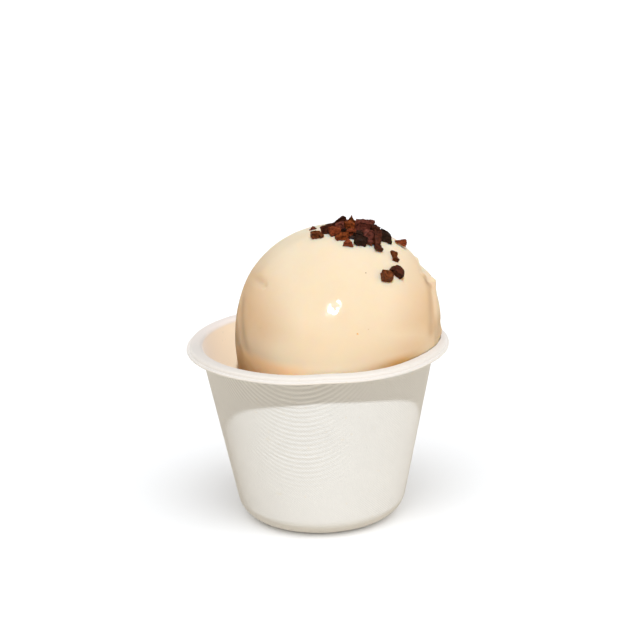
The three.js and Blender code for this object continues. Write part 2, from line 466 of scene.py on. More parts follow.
def printed_wall(place):
    """Stands the ridges out from the outside of the wall."""
    height = place[:, 2]
    radius = np.hypot(place[:, 0], place[:, 1])
    arc = round_from_print(place)
    outside = (np.abs(radius - outside_at(height)) < 0.2) & (height < FLANGE_UNDER)
    ridge = np.cos(math.tau * (height - RIDGE_BOW * arc ** 2) / RIDGE_SPACING)
    strength = bump(arc - RIDGES_LEAN_LEFT, RIDGES_HALF_WIDTH) * fade(height, 10, 34)
    strength *= fade(FLANGE_UNDER - height, 0, 1)
    grow = 1 + outside * RIDGE_HEIGHT * strength * ridge / np.maximum(radius, 1)
    return place * np.stack([grow, grow, np.ones_like(grow)], axis=1)


def rim_lift(place):
    """How far the rim stands above its level over each place, in mm, fading down the wall."""
    azimuth = np.degrees(np.arctan2(place[:, 0], -place[:, 1]))
    wave = -0.08 - 0.14 * np.cos(np.radians(azimuth))
    wave += 0.45 * bump(azimuth - 3, 11) - 0.15 * bump(azimuth - 36, 14)
    return wave * fade(place[:, 2], 45, FLANGE_UNDER)


def wandering_rim(place):
    """Lifts and drops the rim a little as it goes round, and pulls it out of round."""
    azimuth = np.arctan2(place[:, 0], -place[:, 1])
    loose = fade(place[:, 2], 45, FLANGE_UNDER)
    oval = 1 + loose * 0.003 * np.cos(2 * azimuth + math.radians(40))
    height = place[:, 2] + rim_lift(place)
    from_groove = np.hypot(place[:, 0], place[:, 1]) - RIM_RADIUS
    on_top = np.abs(place[:, 2] - FLANGE_TOP) < 0.45
    height -= GROOVE_DEPTH * on_top * bump(from_groove, 0.3) * bump(np.degrees(azimuth) + 85, 45)
    return np.stack([place[:, 0] * oval, place[:, 1] * oval, height], axis=1)


shape_by(tub, printed_wall)
shape_by(tub, wandering_rim)
print("ridges every", RIDGE_SPACING, "mm")

# %% [markdown]
# A pattern that follows the wall needs a map of it: how far round and how high, in millimetres.
# It is written per face corner, so that no face straddles the place where one print ends and the
# next begins. The mesh prints the outside only, so the faces of the inside, known by the way they
# face, and those of the rim are moved far off on the map, where the material finds no print.

# %% Map the wall
NOT_PRINTED = 400.0


def map_wall(piece):
    """A UV map that holds the arc and the height of each corner, in mm."""
    mesh = piece.data
    corner_point = np.empty(len(mesh.loops), np.int64)
    mesh.loops.foreach_get("vertex_index", corner_point)
    points = np.empty(len(mesh.vertices) * 3)
    mesh.vertices.foreach_get("co", points)
    place = points.reshape(-1, 3)[corner_point] / MM
    first = np.empty(len(mesh.polygons), np.int64)
    mesh.polygons.foreach_get("loop_start", first)
    count = np.empty(len(mesh.polygons), np.int64)
    mesh.polygons.foreach_get("loop_total", count)
    arc = round_from_print(place)
    face_of = np.repeat(np.arange(len(count)), count)
    middle = np.bincount(face_of, arc) / count
    whole_print = math.radians(PRINT_REPEAT) * outside_at(place[:, 2])
    arc += whole_print * np.round((np.repeat(middle, count) - arc) / whole_print)
    facing = np.empty(len(mesh.polygons) * 3)
    mesh.polygons.foreach_get("normal", facing)
    facing = np.repeat(facing.reshape(-1, 3), count, axis=0)
    inside = (facing[:, :2] * place[:, :2]).sum(axis=1) < -0.05
    arc[inside | (place[:, 2] > FLANGE_UNDER)] += NOT_PRINTED
    map_of_wall = mesh.uv_layers.new(name="wall")
    map_of_wall.data.foreach_set("uv", np.stack([arc, place[:, 2]], axis=1).ravel())


map_wall(tub)

# %% [markdown]
# ## The tub: pressed plant pulp
#
# Moulded pulp is matt and off-white, with short fibres pressed flat into it and now and then a
# darker one. The tiny squares of the wire mesh show as a faint weave outside. Such a weave is
# finer than a render of this size can show, so it is drawn as coarse as nearly a millimetre, and it
# fades out where one print meets the next, so that no seam shows. The smooth mould leaves the
# inside plainer. The inside is painted warmer and lighter, as painted light, and the rim is painted
# paler towards the back left, also painted light. Under the rim the tops of the ridges are painted a
# little lighter and the hollows darker, with the formula that raised them: painted light and shade
# where the rim's shadow falls. The weave's height and the fibres go through one Bump node, whose
# distance is real.

# %% Material: pressed plant pulp
WEAVE_SPACING = 0.95
WEAVE_HEIGHT = 0.02
FIBRE_LENGTH = 0.9
FIBRE_HEIGHT = 0.02
# How strongly light and shade are painted on the ridges under the rim.
RIDGE_PAINTED_SHADE = 0.11
SMOOTH_SIDE = 0.15
RIM_EDGE = WALL_TOP_RADIUS + FLANGE_TOP
NO_WEAVE, FULL_WEAVE = 1.0, 9.0
# Where painted light makes the rim paler towards the back left, in mm.
PAINTED_LIGHT_FROM, PAINTED_LIGHT_TO = 25.0, 43.0
BAND_FROM, BAND_TO = 49.0, 53.0


def pressed_plant_pulp():
    """Matt off-white pulp with a faint weave, flat fibres and a few darker ones, and painted light and
    shade.
    """
    material, tree = new_material("pressed_plant_pulp")
    coords = add_node(tree, "ShaderNodeTexCoord").outputs["Object"]
    wall = add_node(tree, "ShaderNodeUVMap", uv_map="wall").outputs["UV"]
    apart = add_node(tree, "ShaderNodeSeparateXYZ", links={0: wall})
    turns = math.tau / WEAVE_SPACING
    across = add_node(tree, "ShaderNodeMath", {1: turns}, {0: apart.outputs[0]}, operation="MULTIPLY")
    up = add_node(tree, "ShaderNodeMath", {1: turns}, {0: apart.outputs[1]}, operation="MULTIPLY")
    wires = add_node(tree, "ShaderNodeMath", links={0: across.outputs[0]}, operation="SINE")
    rows = add_node(tree, "ShaderNodeMath", links={0: up.outputs[0]}, operation="SINE")
    weave = add_node(tree, "ShaderNodeMath", links={0: wires.outputs[0], 1: rows.outputs[0]},
                     operation="MULTIPLY")
    smooth = add_node(tree, "ShaderNodeMath", {1: NOT_PRINTED / 2}, {0: apart.outputs[0]},
                      operation="GREATER_THAN").outputs[0]
    print_height = add_node(tree, "ShaderNodeMapRange",
                            {3: WEAVE_HEIGHT, 4: WEAVE_HEIGHT * SMOOTH_SIDE}, {0: smooth})
    seam_turn = math.radians(PRINT_MIDDLE + PRINT_REPEAT / 2)
    seam_way = (math.cos(seam_turn), math.sin(seam_turn), 0)
    off_seam = add_node(tree, "ShaderNodeVectorMath", {1: seam_way}, {0: coords},
                        operation="DOT_PRODUCT")
    off_seam = add_node(tree, "ShaderNodeMath", links={0: off_seam.outputs["Value"]},
                        operation="ABSOLUTE")
    whole = add_node(tree, "ShaderNodeMapRange", {1: NO_WEAVE * MM, 2: FULL_WEAVE * MM},
                     {0: off_seam.outputs[0]}, interpolation_type="SMOOTHSTEP")
    print_height = add_node(tree, "ShaderNodeMath",
                            links={0: print_height.outputs[0], 1: whole.outputs[0]},
                            operation="MULTIPLY")
    weave_height = add_node(tree, "ShaderNodeMath",
                            links={0: weave.outputs[0], 1: print_height.outputs[0]},
                            operation="MULTIPLY")
    fibres = add_node(tree, "ShaderNodeTexNoise",
                      {"Scale": 1 / (FIBRE_LENGTH * MM), "Detail": 3.0, "Roughness": 0.6},
                      {"Vector": coords})
    height = add_node(tree, "ShaderNodeMath", {1: FIBRE_HEIGHT},
                      {0: fibres.outputs["Fac"], 2: weave_height.outputs[0]},
                      operation="MULTIPLY_ADD")
    relief = add_node(tree, "ShaderNodeBump", {"Distance": MM}, {"Height": height.outputs[0]})
    clouds = add_node(tree, "ShaderNodeTexNoise", {"Scale": 1 / (9 * MM), "Detail": 2.0},
                      {"Vector": coords})
    body = add_node(tree, "ShaderNodeMix", {6: linear("#CCCDCC"), 7: linear("#D0D1D0")},
                    {0: clouds.outputs["Fac"]}, data_type="RGBA")
    # Painted light: the inside is painted warmer and lighter, and the rim paler towards the back left.
    in_plan = add_node(tree, "ShaderNodeVectorMath", {1: (1 / MM, 1 / MM, 0)}, {0: coords},
                       operation="MULTIPLY")
    from_axis = add_node(tree, "ShaderNodeVectorMath", links={0: in_plan.outputs[0]},
                         operation="LENGTH")
    out_and_up = add_node(tree, "ShaderNodeMath",
                          links={0: from_axis.outputs["Value"], 1: apart.outputs[1]})
    over_wall = add_node(tree, "ShaderNodeMapRange", {1: RIM_EDGE - 1.1, 2: RIM_EDGE + 0.5},
                         {0: out_and_up.outputs[0]}, interpolation_type="SMOOTHSTEP")
    back_left = add_node(tree, "ShaderNodeVectorMath", {1: (-0.7, 0.7, 0)}, {0: coords},
                         operation="DOT_PRODUCT")
    painted_light_back_left = add_node(tree, "ShaderNodeMapRange", {1: PAINTED_LIGHT_FROM * MM, 2: PAINTED_LIGHT_TO * MM},
                     {0: back_left.outputs["Value"]})
    rim_with_painted_light = add_node(tree, "ShaderNodeMix", {6: linear("#D3CDC6"), 7: linear("#E9DDD5")},
                        {0: painted_light_back_left.outputs[0]}, data_type="RGBA")
    smooth_side_painted_light = add_node(tree, "ShaderNodeMix", {6: linear("#FAE5C6")},
                           {0: over_wall.outputs[0], 7: rim_with_painted_light.outputs[2]}, data_type="RGBA")
    body = add_node(tree, "ShaderNodeMix", links={0: smooth, 6: body.outputs[2],
                                                  7: smooth_side_painted_light.outputs[2]}, data_type="RGBA")
    stray = add_node(tree, "ShaderNodeTexNoise", {"Scale": 1 / (1.6 * MM), "Detail": 1.0},
                     {"Vector": coords})
    few = add_node(tree, "ShaderNodeMapRange", {1: 0.70, 2: 0.78, 4: 0.35},
                   {0: stray.outputs["Fac"]})
    flecked = add_node(tree, "ShaderNodeMix", {7: linear("#CDC3AE")},
                       {0: few.outputs[0], 6: body.outputs[2]}, data_type="RGBA")
    # Painted light and shade: where the rim's shadow falls, the ridges' tops are painted lighter and
    # their hollows darker.
    bowed = add_node(tree, "ShaderNodeMath", links={0: apart.outputs[0], 1: apart.outputs[0]},
                     operation="MULTIPLY")
    level = add_node(tree, "ShaderNodeMath", {1: -RIDGE_BOW},
                     {0: bowed.outputs[0], 2: apart.outputs[1]}, operation="MULTIPLY_ADD")
    phase = add_node(tree, "ShaderNodeMath", {1: math.tau / RIDGE_SPACING},
                     {0: level.outputs[0]}, operation="MULTIPLY")
    ridge = add_node(tree, "ShaderNodeMath", links={0: phase.outputs[0]}, operation="COSINE")
    from_left = add_node(tree, "ShaderNodeMapRange", {1: -34.0, 2: -24.0},
                         {0: apart.outputs[0]}, interpolation_type="SMOOTHSTEP")
    to_right = add_node(tree, "ShaderNodeMapRange", {1: 30.0, 2: 0.0, 4: RIDGE_PAINTED_SHADE},
                        {0: apart.outputs[0]}, interpolation_type="SMOOTHSTEP")
    near_rim = add_node(tree, "ShaderNodeMapRange", {1: BAND_FROM, 2: BAND_TO},
                        {0: apart.outputs[1]}, interpolation_type="SMOOTHSTEP")
    painted_shade_band = add_node(tree, "ShaderNodeMath", links={0: from_left.outputs[0], 1: to_right.outputs[0]},
                    operation="MULTIPLY")
    painted_shade_band = add_node(tree, "ShaderNodeMath", links={0: painted_shade_band.outputs[0], 1: near_rim.outputs[0]},
                    operation="MULTIPLY")
    tone = add_node(tree, "ShaderNodeMath", {2: 1.0},
                    {0: ridge.outputs[0], 1: painted_shade_band.outputs[0]}, operation="MULTIPLY_ADD")
    ridge_shaded_body = add_node(tree, "ShaderNodeVectorMath",
                       links={0: flecked.outputs[2], 1: tone.outputs[0]}, operation="MULTIPLY")
    dull = add_node(tree, "ShaderNodeMapRange", {3: 0.78, 4: 0.92}, {0: fibres.outputs["Fac"]})
    pulp = add_node(tree, "ShaderNodeBsdfPrincipled",
                    {"IOR": 1.47, "Sheen Weight": 0.5, "Sheen Roughness": 0.6},
                    {"Base Color": ridge_shaded_body.outputs[0], "Roughness": dull.outputs[0],
                     "Normal": relief.outputs[0]})
    pulp.inputs["Specular IOR Level"].default_value = 0.25
    add_node(tree, "ShaderNodeOutputMaterial", links={"Surface": pulp.outputs[0]})
    return material


tub.data.materials.append(pressed_plant_pulp())
on_object.objects.link(tub)
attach(tub, "root")
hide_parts("cup")
print("tub finished")

# %% [markdown]
# ## The sorbet: one smooth scoop
#
# The scoop is a ball turned in a round scoop and let slip into the tub, so it is a little fuller
# below on one side, leans to the other, and has a soft shoulder where the cream was turned over.
# Two shallow upright seams show where the edge of the scoop ran, and a patch on the right is torn.
# A ball with evenly sized faces is best made from a cube: cut it finely, push it out to a sphere,
# then move each point out to the skin that the same few sizes describe in the measured model.
# Three places carry finer marks, so their faces are cut once or twice more.

# %% The scoop's sizes
SCOOP_MIDDLE = np.array([7.1, 0.0, 66.1])
SCOOP_RADIUS = 35.1
FULLNESS_LEFT = 2.23
FULLNESS_RIGHT = 1.94
LEAN = 2.0
LEAN_BACK = 2.0
SCOOP_CUTS = 95

# Places with finer faces: the way to them, their reach in mm and the cuts.
FINER = [
    ((-0.09, -0.9, 0.43), 4.5, 2),
    ((0.88, -0.1, 0.46), 13.0, 1),
    ((-0.66, -0.5, 0.55), 5.0, 1),
]

# Soft marks on the skin: azimuth from the front and elevation in degrees, how far they stand out
# in mm, and their reach along and across in degrees.
MARKS = {
    "swell": (90, 26, 0.8, 34, 6.5),
    "valley": (90, 36, -0.5, 34, 6.5),
    "dimple": (-66, 33.8, -0.7, 10, 2.4),
    "bulge": (-64, 39.5, 0.35, 9, 3.5),
    "belly": (-14, -12, 4.2, 30, 32),
    "ledge": (97, 40, 0.5, 6, 1.6),
    "notch": (97, 34.5, -0.55, 6, 1.9),
    "fold": (84, 27, 0.5, 5, 2.5),
    "pit": (-56.4, 33.2, -0.6, 1.8, 1.4),
    "cheek": (-20, 14, 0.95, 13, 12),
    "flat": (-5.4, 25.9, -0.11, 5.2, 4.6),
    "pore": (-4.8, 25.5, -0.10, 0.9, 0.8),
    "torn_pit": (78, 30, -0.25, 3.0, 2.6),
    "lip": (82, -2, 0.5, 9, 2.2),
    "lip_valley": (80, 2.5, -0.35, 9, 1.8),
}

# Upright seams where the scoop's edge ran: azimuth at the foot, how it moves for each degree up
# and each square degree, the lowest and highest elevation, and the way the lip lies.
SEAMS = [(-62.5, -0.72, 0.0, -4, 23, -1), (61.5, 0.0, 0.0165, 2, 31, 1)]
SEAM_DEPTH = 0.2
LIP_HEIGHT = 0.2
LIP_AWAY = 7.0
SEAM_WIDTH = 4.2


def angles_of(direction):
    """The azimuth from the front and the elevation of each unit direction, in degrees."""
    azimuth = np.degrees(np.arctan2(direction[:, 0], -direction[:, 1]))
    elevation = np.degrees(np.arcsin(np.clip(direction[:, 2], -1, 1)))
    return azimuth, elevation


def along_seams(azimuth, elevation):
    """How far each place is in a seam, and how far on its lip, from 0 to 1."""
    in_seam = np.zeros(len(azimuth))
    on_lip = np.zeros(len(azimuth))
    for foot, slope, bend, low, high, side in SEAMS:
        away = azimuth - foot - slope * elevation - bend * elevation ** 2
        reach = fade(elevation, low - 3, low + 3) * fade(-elevation, -high - 3, -high + 3)
        in_seam += reach * bump(away, SEAM_WIDTH)
        on_lip += reach * bump(away - side * LIP_AWAY, SEAM_WIDTH)
    return in_seam, on_lip


def marks_on(direction):
    """How far the marks and seams move the skin in each unit direction, in mm."""
    azimuth, elevation = angles_of(direction)
    in_seam, on_lip = along_seams(azimuth, elevation)
    total = LIP_HEIGHT * on_lip - SEAM_DEPTH * in_seam
    for middle, level, stands_out, along, across in MARKS.values():
        turn = (azimuth - middle + 180) % 360 - 180
        total += stands_out * bump(turn, along) * bump(elevation - level, across)
    return total


def scoop_skin(place):
    """Puts points of a sphere out on the skin of the scoop."""
    direction = place / np.linalg.norm(place, axis=1, keepdims=True)
    level = np.hypot(direction[:, 0], direction[:, 1])
    right = 0.5 + 0.5 * direction[:, 0] / np.maximum(level, 1e-9)
    power = FULLNESS_LEFT + (FULLNESS_RIGHT - FULLNESS_LEFT) * right
    plain = SCOOP_RADIUS / (level ** power + np.abs(direction[:, 2]) ** power) ** (1 / power)
    skin = direction * (plain + marks_on(direction))[:, None]
    skin[:, 0] += LEAN * skin[:, 2] / SCOOP_RADIUS
    skin[:, 1] += LEAN_BACK * skin[:, 2] / SCOOP_RADIUS
    return skin + SCOOP_MIDDLE


start_clean()
bpy.ops.mesh.primitive_cube_add(size=2 * SCOOP_RADIUS * MM)
sorbet = name_new("sorbet")
bpy.ops.mesh.subdivide(number_cuts=SCOOP_CUTS)
bpy.ops.transform.tosphere(value=1.0)
for spot, reach, cuts in FINER:
    spot = Vector(spot).normalized() * SCOOP_RADIUS
    pick(sorbet, "faces", lambda p: (p - spot).length < reach)
    bpy.ops.mesh.subdivide(number_cuts=cuts)
    bpy.ops.transform.tosphere(value=1.0, center_override=(0, 0, 0))
bpy.ops.object.mode_set(mode="OBJECT")
shape_by(sorbet, scoop_skin)
print("scoop:", triangles(sorbet), "triangles")

# %% [markdown]
# Churned cream is never quite smooth: soft swells a centimetre across, and finer ones of a few
# millimetres. Two Displace modifiers with cloud textures do both, and a noise of two sizes breaks
# up the torn patch. What would pass through the tub is then pressed in to the inside of the wall,
# or to the roll of the rim where the scoop leans, a tenth of a millimetre into the pulp, so that
# no gap shows between the two.

# %% Unevenness, and the fit in the tub
CRINKLES = [(2.8, 0.8), (1.1, 0.25)]
REACH_IN = 0.1


def churn(piece, size, height):
    """Moves the skin in and out by a cloud pattern of a size, both in mm."""
    clouds = bpy.data.textures.new("churn", "CLOUDS")
    clouds.noise_scale = size * MM
    finish_with(piece, "DISPLACE", texture=clouds, texture_coords="LOCAL",
                strength=height * MM, mid_level=0.5)


def room_at(height):
    """The radius that the tub leaves free at each height, in mm, and a hair more."""
    wall = inside_at(height) + REACH_IN / math.cos(WALL_LEAN)
    rounding = ROLL_INSIDE - REACH_IN
    roll_height = RIM_HEIGHT - REACH_IN - rounding
    roll_middle = inside_at(roll_height) + (REACH_IN + rounding) / math.cos(WALL_LEAN)
    above = np.clip(height - roll_height, 0, rounding)
    roll = roll_middle - np.sqrt(rounding ** 2 - above ** 2)
    free = np.where(height > roll_height + rounding * math.sin(WALL_LEAN), roll, wall)
    return np.where(height > RIM_HEIGHT - REACH_IN, np.inf, free)


def pressed_in(place):
    """Keeps every place inside the room that the tub leaves."""
    radius = np.hypot(place[:, 0], place[:, 1])
    share = np.minimum(1, room_at(place[:, 2] - rim_lift(place)) / np.maximum(radius, 1e-6))
    return place * np.stack([share, share, np.ones_like(share)], axis=1)


def from_middle(place):
    """The unit direction of each place from the middle of the scoop."""
    direction = place - SCOOP_MIDDLE
    return direction / np.linalg.norm(direction, axis=1, keepdims=True)


def crinkled(place):
    """Breaks up the skin where the cream was torn, round the notch on the right."""
    direction = from_middle(place)
    azimuth, elevation = angles_of(direction)
    torn = bump(azimuth - 83, 10) * bump(elevation - 27, 11)
    for index in np.flatnonzero(torn > 0.02):
        spot = Vector(place[index])
        rough = sum(depth * noise.noise(spot / size) for size, depth in CRINKLES)
        place[index] += direction[index] * rough * torn[index]
    return place


churn(sorbet, 11.0, 0.35)
churn(sorbet, 3.2, 0.06)
shape_by(sorbet, crinkled)
shape_by(sorbet, pressed_in)

# %% [markdown]
# Under the scoop the tub is filled with more sorbet, a little higher in the middle. It is turned
# like the tub, from a short section that reaches a tenth of a millimetre into the pulp all round,
# and joined to the scoop by a Boolean, so that the two are one body with one skin, and the hollow
# beside the scoop shows a soft floor of sorbet.

# %% Fill the tub below the scoop
FILL_EDGE = 38.0
FILL_MIDDLE = 46.0
FLOOR_OF_FILL = SHEET - REACH_IN
REACH_ACROSS = REACH_IN / math.cos(WALL_LEAN)

fill_corners = [
    [0, FLOOR_OF_FILL, 0],
    [inside_at(FLOOR_OF_FILL) + REACH_ACROSS, FLOOR_OF_FILL, FOOT_ROUNDING - FLOOR_OF_FILL],
    [inside_at(FILL_EDGE) + REACH_ACROSS, FILL_EDGE, 0],
    [SCOOP_RADIUS - 3.0, FILL_EDGE, 3.0],
    [0, FILL_MIDDLE, 0],
]
fill = draw_section("fill", fill_corners)
round_corners(fill, fill_corners, segment_length=1.0)
spin_section(fill, 144)
finish_with(sorbet, "BOOLEAN", operation="UNION", solver="MANIFOLD", object=fill)
start_clean()
fill.select_set(True)
bpy.ops.object.delete()
start_clean()
sorbet.select_set(True)
bpy.context.view_layer.objects.active = sorbet
bpy.ops.object.shade_smooth_by_angle(angle=math.radians(60))
print("sorbet:", triangles(sorbet), "triangles")

# %% [markdown]
# ## The sorbet: painted light and shade
#
# The cream is palest in the middle of the front and on top. Shade is painted on it as a browner,
# darker cream: at the sides, low down at the right, where it turns under at the left, in the seams
# and in the pit of the torn patch. Just above the rim a warm contact shade is painted, with painted
# bounce light on it. Such shares could come from noise, but here they follow the shape, so a
# formula paints them on the points as a colour attribute, which the material reads: red for the
# painted shade, green for the painted contact shade and blue for painted light and shade. At the
# back all the marks fade out, so none ends in a line.

# %% Paint light and shade on the cream
STRIP_HEIGHT = 3.4


def painted_light_and_shade(place):
    """For each place: its share of painted shade, of painted contact shade and of painted light."""
    azimuth, elevation = angles_of(from_middle(place))
    # Painted shade: the sides are browner and darker than the middle, and less so the higher they are.
    above = place[:, 2] - SCOOP_MIDDLE[2]
    sideways = np.abs(place[:, 0] - SCOOP_MIDDLE[0]) - 0.35 * np.maximum(above, 0)
    sideways += 1.5 * fade(-azimuth, 8, 26)
    start = 17 - 9 * fade(elevation, 1, 15)
    painted_shade = fade(sideways, start, start + 21)
    # Painted shade low down at the right, and where the ball turns under at the left.
    low_right = 0.75 * fade(-elevation, -15, 0) * bump(azimuth - 47, 24)
    painted_shade = np.maximum(painted_shade, low_right)
    not_behind = fade(-np.abs(azimuth), -130, -95)
    turned_under = fade(-2 - 0.41 * (azimuth + 68) - elevation, -1, 3) * fade(-azimuth, 25, 45)
    turned_under *= not_behind
    painted_shade = np.maximum(painted_shade, turned_under)
    # A strip of painted warm contact shade just above the rim.
    over_rim = place[:, 2] - rim_lift(place) - RIM_HEIGHT
    strip = fade(-over_rim, -STRIP_HEIGHT, 0.3) * fade(over_rim, -14, -6)
    at_left = fade(-azimuth, 8, 26) * not_behind
    at_right = fade(azimuth, 42, 55) * not_behind
    contact_shade = strip * (bump(azimuth - 34, 16) + 0.5 * at_left * fade(azimuth, -100, -60))
    # Painted shade in the seams and the pit of the torn patch, and painted light that makes the cream
    # paler past the right-hand seam.
    in_seam, on_lip = along_seams(azimuth, elevation)
    torn_pit = bump(azimuth - 77, 3.5) * bump(elevation - 29, 3.5)
    past_seam = fade(azimuth - 61.5 - 0.0165 * elevation ** 2, 2, 6) * not_behind
    low_down = fade(-elevation, -14, -5)
    painted_shade = painted_shade + 0.35 * in_seam + 0.4 * torn_pit - 0.5 * past_seam * (1 - low_down)
    # Painted light and shade: how much lighter or darker each of these is, with painted bounce light
    # on the strip above the rim.
    light = 0.05 * on_lip - 0.15 * in_seam - 0.1 * turned_under - 0.25 * torn_pit
    light += strip * (0.08 + 0.36 * at_left + 0.16 * at_right)
    light -= low_down * (0.15 * past_seam + 0.12 * fade(-azimuth, 62, 68) * not_behind)
    light -= 0.05 * fade(-azimuth, 60, 80) * not_behind * (1 - low_down)
    return np.clip(painted_shade, 0, 1), contact_shade, light


def paint_light_and_shade(piece):
    """Writes the three shares on the points, as the red, green and blue of a colour."""
    places = np.empty(len(piece.data.vertices) * 3)
    piece.data.vertices.foreach_get("co", places)
    painted_shade, contact_shade, light = painted_light_and_shade(places.reshape(-1, 3) / MM)
    shares = np.stack([painted_shade, contact_shade, 0.5 + light, np.ones_like(light)], axis=1)
    paint = piece.data.color_attributes.new("cream", "FLOAT_COLOR", "POINT")
    paint.data.foreach_set("color", shares.ravel())
    print("melted share, middle:", round(float(np.median(painted_shade)), 2))


paint_light_and_shade(sorbet)

# %% [markdown]
# ## The sorbet: churned cream
#
# Churned sorbet is pale cream with a wet, half-melted skin. Light enters it, scatters and comes
# out some millimetres away, which takes the edge off every shadow and warms the thin parts: that
# is subsurface scattering, with red light reaching furthest. A thin coat stands for the melted
# film, which gives the small sharp highlight, and a fine bump keeps that highlight from being a
# perfect disc.

# %% Material: churned sorbet
LIGHT_REACH = 5.0
# Colours of the painted shade on the sorbet, and of the painted warm contact shade above the rim.
SHADED_CREAM = "#C6A684"
CONTACT_SHADE_CREAM = "#B98A52"


def churned_sorbet():
    """Pale cream that light enters, with painted shade and light from its points, and a thin film of
    melt.
    """
    material, tree = new_material("churned_sorbet")
    coords = add_node(tree, "ShaderNodeTexCoord").outputs["Object"]
    folds = add_node(tree, "ShaderNodeTexNoise", {"Scale": 1 / (14 * MM), "Detail": 3.0},
                     {"Vector": coords})
    pale = add_node(tree, "ShaderNodeMix", {6: linear("#D4C1A5"), 7: linear("#D8C8AE")},
                    {0: folds.outputs["Fac"]}, data_type="RGBA")
    # The cream attribute holds painted light and shade: red the share of shaded cream, green the
    # painted contact shade, blue painted lightness.
    painted = add_node(tree, "ShaderNodeAttribute", attribute_name="cream").outputs["Color"]
    shares = add_node(tree, "ShaderNodeSeparateColor", links={0: painted})
    patchy = add_node(tree, "ShaderNodeMapRange", {1: 0.25, 2: 0.75, 3: 0.75, 4: 1.1},
                      {0: folds.outputs["Fac"]})
    painted_shade = add_node(tree, "ShaderNodeMath", links={0: shares.outputs[0], 1: patchy.outputs[0]},
                      operation="MULTIPLY", use_clamp=True)
    body = add_node(tree, "ShaderNodeMix", {7: linear(SHADED_CREAM)},
                    {0: painted_shade.outputs[0], 6: pale.outputs[2]}, data_type="RGBA")
    body = add_node(tree, "ShaderNodeMix", {7: linear(CONTACT_SHADE_CREAM)},
                    {0: shares.outputs[1], 6: body.outputs[2]}, data_type="RGBA")
    lightness = add_node(tree, "ShaderNodeMath", {1: 0.5}, {0: shares.outputs[2]})
    body = add_node(tree, "ShaderNodeVectorMath",
                    links={0: body.outputs[2], 1: lightness.outputs[0]}, operation="MULTIPLY")
    grain = add_node(tree, "ShaderNodeTexNoise", {"Scale": 1 / (1.3 * MM), "Detail": 3.0},
                     {"Vector": coords})
    skin = add_node(tree, "ShaderNodeBump", {"Distance": 0.02 * MM},
                    {"Height": grain.outputs["Fac"]})
    wetness = add_node(tree, "ShaderNodeMapRange", {3: 0.06, 4: 0.115},
                       {0: grain.outputs["Fac"]})
    facing = add_node(tree, "ShaderNodeLayerWeight").outputs["Facing"]
    film = add_node(tree, "ShaderNodeMapRange", {1: 0.15, 2: 0.6, 3: 0.35, 4: 0.0}, {0: facing})
    sorbet_body = add_node(tree, "ShaderNodeBsdfPrincipled",
                           {"Roughness": 0.4, "IOR": 1.36, "Subsurface Weight": 1.0,
                            "Subsurface Radius": (1.0, 0.62, 0.34),
                            "Subsurface Scale": LIGHT_REACH * MM,
                            "Specular IOR Level": 0.0, "Coat IOR": 1.33},
                           {"Base Color": body.outputs[0], "Coat Weight": film.outputs[0],
                            "Coat Roughness": wetness.outputs[0], "Normal": skin.outputs[0],
                            "Coat Normal": skin.outputs[0]})
    add_node(tree, "ShaderNodeOutputMaterial", links={"Surface": sorbet_body.outputs[0]})
    return material


sorbet.data.materials.clear()
sorbet.data.materials.append(churned_sorbet())
on_object.objects.link(sorbet)
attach(sorbet, "root")
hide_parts("sorbet_scoop")
print("sorbet finished")

# %% [markdown]
# ## The nibs: broken cocoa beans
#
# Cocoa nibs are roasted beans cracked to bits: angular chunks with smooth outer faces and rough
# broken ones, flat shards, wedges and a few bent slivers, 2 to 8 mm long. A chunk is made like the
# real one, by breaking: a block is trimmed by slanting cuts that a seeded random source places,
# its three largest faces are pushed in, and the edges are softened by a small bevel. Shards start
# from a flat five-sided disc, wedges from a triangle, and slivers and clubs are drawn out from a
# block by extruding.

# %% Tools for one nib
BREAK_REACH = (0.6, 0.9)
EDGE_WEAR = 0.1
CUTS = {"block": 6, "wedge": 2, "shard": 4, "sliver": 2, "club": 1}


def start_nib(kind):
    """The rough body of a nib, a unit long each way, in edit mode with all of it selected."""
    start_clean()
    if kind == "wedge":
        bpy.ops.mesh.primitive_cylinder_add(vertices=3, radius=0.62 * MM, depth=MM)
    elif kind == "shard":
        bpy.ops.mesh.primitive_cylinder_add(vertices=5, radius=0.56 * MM, depth=MM)
    else:
        bpy.ops.mesh.primitive_cube_add(size=MM)
    return name_new("nib")


def draw_out(nib, waist, knob, side):
    """Turns the unit block into a bent sliver, or a club with a knob, by extruding its end."""
    bpy.ops.transform.resize(value=(0.36, 0.8, 1.0))
    bpy.ops.transform.translate(value=(-0.32 * MM, 0, 0))
    pick(nib, "faces", lambda p: p.x > -0.2)
    bpy.ops.mesh.extrude_region_move(TRANSFORM_OT_translate={"value": (0.36 * MM, 0, 0)})
    bpy.ops.transform.resize(value=(1, waist, waist))
    pick(nib, "faces", lambda p: p.x > 0.17)
    bpy.ops.mesh.extrude_region_move(TRANSFORM_OT_translate={"value": (0.3 * MM, side * MM, 0)})
    bpy.ops.transform.resize(value=(1, knob, knob))


def break_nib(nib, size, cuts, source):
    """Scales the body to its size in mm and trims it by slanting cuts."""
    bpy.ops.mesh.select_all(action="SELECT")
    bpy.ops.transform.resize(value=size)
    half = Vector(size) / 2
    for _ in range(cuts):
        way = Vector([source.uniform(-1, 1) for _ in range(3)]).normalized()
        support = sum(abs(part) * reach for part, reach in zip(way, half))
        depth = support * source.uniform(*BREAK_REACH)
        bpy.ops.mesh.select_all(action="SELECT")
        bpy.ops.mesh.bisect(plane_co=way * depth * MM, plane_no=way, use_fill=True,
                            clear_outer=True)


